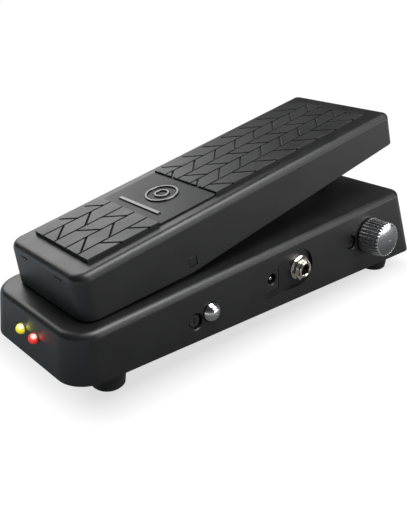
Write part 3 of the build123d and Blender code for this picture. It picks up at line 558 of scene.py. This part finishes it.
rows = turned_rows(
    knob, around(KNOB_SPOT), knob_profile, FLUTES * STEPS_IN_FLUTE, flute_radius
)
for step in range(len(rows[0])):
    following = (step + 1) % len(rows[0])
    first, last = rows[0], rows[-1]
    knob.faces.new((last[step], last[following], first[following], first[step]))
knob_piece = finish_piece(
    "range_knob_fluted", knob, KNOB_CHROME, "knob", ("range_knob",)
)
knob_piece.data.shade_smooth()

# ---- return spring -----------------------------------------------------------------------------
PIVOT = Vector((0, -0.0502, 0.0484))
COIL_HALF = 5.4
COIL_RADIUS = 5.0
COIL_TURNS = 6.75
COIL_STEPS = 216
WIRE_RADIUS = 0.7
# points of the legs, along y and z from the pivot in mm
TREADLE_LEG = ((19.0, 19.6), (14.3, 9.8))
BASE_LEG = ((-5.5, -6.0), (-11.0, -7.11))


def spring_route():
    """Middle line of the return spring: a leg up to the treadle, the coil and a leg to the base."""
    points = [(-COIL_HALF, *spot) for spot in TREADLE_LEG]
    for step in range(COIL_STEPS + 1):
        angle = 2 * pi * COIL_TURNS * step / COIL_STEPS
        x = -COIL_HALF + 2 * COIL_HALF * step / COIL_STEPS
        points.append((x, COIL_RADIUS * cos(angle), COIL_RADIUS * sin(angle)))
    points += [(COIL_HALF, *spot) for spot in BASE_LEG]
    return [PIVOT + MM * Vector(point) for point in points]


def add_wire(mesh, points, radius, sides=12):
    """Round wire along a line of points, closed at both ends."""
    rings = []
    side = Vector((1, 0, 0))
    for index, point in enumerate(points):
        before = points[max(index - 1, 0)]
        after = points[min(index + 1, len(points) - 1)]
        heading = (after - before).normalized()
        side = (side - heading * side.dot(heading)).normalized()
        normal = heading.cross(side)
        ring = []
        for step in range(sides):
            angle = 2 * pi * step / sides
            offset = radius * MM * (cos(angle) * side + sin(angle) * normal)
            ring.append(mesh.verts.new(point + offset))
        rings.append(ring)
    for lower, upper in zip(rings, rings[1:]):
        for step in range(sides):
            following = (step + 1) % sides
            mesh.faces.new((lower[step], lower[following], upper[following], upper[step]))
    mesh.faces.new(rings[0][::-1])
    mesh.faces.new(rings[-1])


spring = bmesh.new()
add_wire(spring, spring_route(), WIRE_RADIUS)
spring_piece = make_object("torsion_spring", spring, SPRING)
spring_piece.data.shade_smooth()
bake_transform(spring_piece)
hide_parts("return_spring")

# ---- camera ------------------------------------------------------------------------------------
AZIMUTH = radians(47.71)
ELEVATION = radians(24.95)
DISTANCE = 0.3744
FOCAL_LENGTH = 44.53
TARGET = Vector((0.00095, -0.01362, 0.0243))
BACK = Vector((sin(AZIMUTH) * cos(ELEVATION), -cos(AZIMUTH) * cos(ELEVATION), sin(ELEVATION)))

camera_data = bpy.data.cameras.new("camera")
camera_data.sensor_width = 36
camera_data.lens = FOCAL_LENGTH
camera_data.clip_start = 0.01
camera_data.clip_end = 50
camera = bpy.data.objects.new("camera", camera_data)
camera.location = TARGET + BACK * DISTANCE
camera.rotation_mode = "QUATERNION"
camera.rotation_quaternion = (-BACK).to_track_quat("-Z", "Y")
bpy.context.scene.collection.objects.link(camera)
bpy.context.scene.camera = camera

# ---- floor and surroundings --------------------------------------------------------------------
FLOOR_HALF = 4.0
FOOTPRINT = (0.036, 0.108, 0)  # half the width and length of the plan that the painted shadow starts from
PAINTED_SHADOW_REACH = (0.004, 0.0265)
PAINTED_SHADOW_STRENGTHS = (0.70, 1.0)
PAINTED_SHADE_REACH = 0.6
COOL_SIDE = (-0.45, -0.9, 0)
COOL_REACH = (0.06, 0.16)
scene = bpy.context.scene
scene.view_settings.view_transform = "Standard"


def camera_switch(tree, seen, unseen):
    """Shader that is one thing to the camera and another to every other ray."""
    path = tree.nodes.new("ShaderNodeLightPath")
    mix = tree.nodes.new("ShaderNodeMixShader")
    tree.links.new(path.outputs["Is Camera Ray"], mix.inputs["Fac"])
    tree.links.new(unseen, mix.inputs[1])
    tree.links.new(seen, mix.inputs[2])
    return mix.outputs[0]


floor_data = bpy.data.meshes.new("floor")
floor_mesh = bmesh.new()
bmesh.ops.create_grid(floor_mesh, x_segments=8, y_segments=8, size=FLOOR_HALF)
floor_mesh.to_mesh(floor_data)
floor_mesh.free()
floor = bpy.data.objects.new("floor", floor_data)
scene.collection.objects.link(floor)
floor_material, tree, floor_shader, floor_coordinates = new_material("studio_floor")
tree.nodes.remove(floor_shader)
# distance from the plan of the base, for the painted shadow and reflection round the object, which
# dims the floor's glow close to it
distance = floor_coordinates
steps_out = (("ABSOLUTE", None), ("SUBTRACT", FOOTPRINT), ("MAXIMUM", (0, 0, 0)))
for operation, vector in steps_out:
    step_node = tree.nodes.new("ShaderNodeVectorMath")
    step_node.operation = operation
    tree.links.new(distance, step_node.inputs[0])
    if vector:
        step_node.inputs[1].default_value = vector
    distance = step_node.outputs[0]
length = tree.nodes.new("ShaderNodeVectorMath")
length.operation = "LENGTH"
tree.links.new(distance, length.inputs[0])
painted_shadow_emission = tree.nodes.new("ShaderNodeEmission")
# painted shadow and reflection: the floor's glow to the camera dims towards the base
painted_shadow = add_range(tree, length.outputs["Value"], *PAINTED_SHADOW_STRENGTHS, *PAINTED_SHADOW_REACH)
tree.links.new(painted_shadow, painted_shadow_emission.inputs["Strength"])
catch = tree.nodes.new("ShaderNodeBsdfDiffuse")
catch.inputs["Color"].default_value = (0.02, 0.02, 0.02, 1)
seen = tree.nodes.new("ShaderNodeAddShader")
tree.links.new(painted_shadow_emission.outputs[0], seen.inputs[0])
tree.links.new(catch.outputs[0], seen.inputs[1])
# the floor that lights the object: its glow dimmer close by as painted shade, bluer and brighter to
# the left and front
glow = tree.nodes.new("ShaderNodeEmission")
# painted shade: the floor's glow darkens towards the object
painted_shade_near = add_ramp(
    tree,
    add_range(tree, length.outputs["Value"], 0, 1, 0, PAINTED_SHADE_REACH),
    (0.0, (0.15, 0.15, 0.15)),
    (0.08, (0.24, 0.24, 0.24)),
    (0.2, (0.45, 0.45, 0.45)),
    (0.5, (0.6, 0.6, 0.6)),
    (1.0, (0.9, 0.9, 0.9)),
)
split = tree.nodes.new("ShaderNodeVectorMath")
split.operation = "DOT_PRODUCT"
tree.links.new(floor_coordinates, split.inputs[0])
split.inputs[1].default_value = COOL_SIDE
side_share = add_range(tree, split.outputs["Value"], 0, 1, *COOL_REACH)
cool = add_ramp(tree, side_share, (0.0, (0.5, 0.5, 0.5)), (1.0, (0.78, 0.87, 0.93)))
both = tree.nodes.new("ShaderNodeVectorMath")
both.operation = "MULTIPLY"
tree.links.new(painted_shade_near, both.inputs[0])
tree.links.new(cool, both.inputs[1])
tree.links.new(both.outputs[0], glow.inputs["Color"])
glow.inputs["Strength"].default_value = 2.0
output = next(node for node in tree.nodes if node.type == "OUTPUT_MATERIAL")
tree.links.new(camera_switch(tree, seen.outputs[0], glow.outputs[0]), output.inputs[0])
floor_data.materials.append(floor_material)

world = bpy.data.worlds.new("studio")
world.use_nodes = True
world_tree = world.node_tree
dim = world_tree.nodes["Background"]
direction = world_tree.nodes.new("ShaderNodeTexCoord").outputs["Generated"]
height = world_tree.nodes.new("ShaderNodeSeparateXYZ")
world_tree.links.new(direction, height.inputs[0])
# dim studio, paler towards the horizon
sky = add_ramp(
    world_tree,
    height.outputs["Z"],
    (0.0, (0.24, 0.24, 0.24)),
    (0.12, (0.2, 0.2, 0.205)),
    (0.3, (0.08, 0.08, 0.085)),
    (0.6, (0.04, 0.04, 0.043)),
)
world_tree.links.new(sky, dim.inputs["Color"])
white = world_tree.nodes.new("ShaderNodeBackground")
white.inputs["Color"].default_value = (1, 1, 1, 1)
world_output = next(node for node in world_tree.nodes if node.type == "OUTPUT_WORLD")
world_tree.links.new(
    camera_switch(world_tree, white.outputs[0], dim.outputs[0]), world_output.inputs[0]
)
scene.world = world

# ---- lights ------------------------------------------------------------------------------------
LAMP_SPOT = Vector((0, -0.1257, 0.0225))
BESIDE_LAMP = Vector((0.0023, 0, 0.0012))
STREAK = Vector((0.86, 0.20, 0.49))
STREAK_POWER = 0.22


def softbox(name, direction, distance, size, radiance, length_along, aim=(0, 0, 0.05)):
    """Rectangular light seen from the object in a direction, its second side along a vector."""
    data = bpy.data.lights.new(name, "AREA")
    data.shape = "RECTANGLE"
    data.size, data.size_y = size
    data.energy = radiance * pi * size[0] * size[1]
    light = bpy.data.objects.new(name, data)
    heading = Vector(direction).normalized()
    tall = Vector(length_along)
    tall = (tall - heading * tall.dot(heading)).normalized()
    wide = tall.cross(heading)
    place = Matrix((wide, tall, heading)).transposed().to_4x4()
    place.translation = Vector(aim) + heading * distance
    light.matrix_world = place
    scene.collection.objects.link(light)


def lamp_glow(name, x, colour):
    """Small light beside a lamp that draws a streak along the heel wall, sideways and up."""
    data = bpy.data.lights.new(name, "SPOT")
    data.energy = STREAK_POWER
    data.color = colour
    data.spot_size = radians(58)
    data.spot_blend = 1.0
    data.shadow_soft_size = 0.0006
    light = bpy.data.objects.new(name, data)
    light.location = LAMP_SPOT + BESIDE_LAMP + Vector((x, 0, 0))
    light.rotation_mode = "QUATERNION"
    light.rotation_quaternion = STREAK.normalized().to_track_quat("-Z", "Y")
    light.visible_camera = False
    light.visible_glossy = False
    scene.collection.objects.link(light)


softbox("far_left", (-0.823, 0.101, 0.559), 1.2, (0.62, 0.95), 4.4, (0.12, 0.99, 0))
softbox("overhead", (0.24, 0.18, 0.95), 1.3, (0.85, 0.8), 12.0, (0, 0.983, 0.182))
softbox("upper_right", (0.72, 0.42, 0.55), 1.2, (0.5, 0.9), 4.0, (-0.5, 0.86, 0))
softbox("right", (0.861, 0.497, 0.105), 1.2, (0.2, 1.1), 5.0, (-0.58, 0.8, 0))
lamp_glow("yellow_glow", -0.0064, (0.75, 0.8, 0.05))
lamp_glow("red_glow", 0.0058, (1.0, 0.08, 0.05))
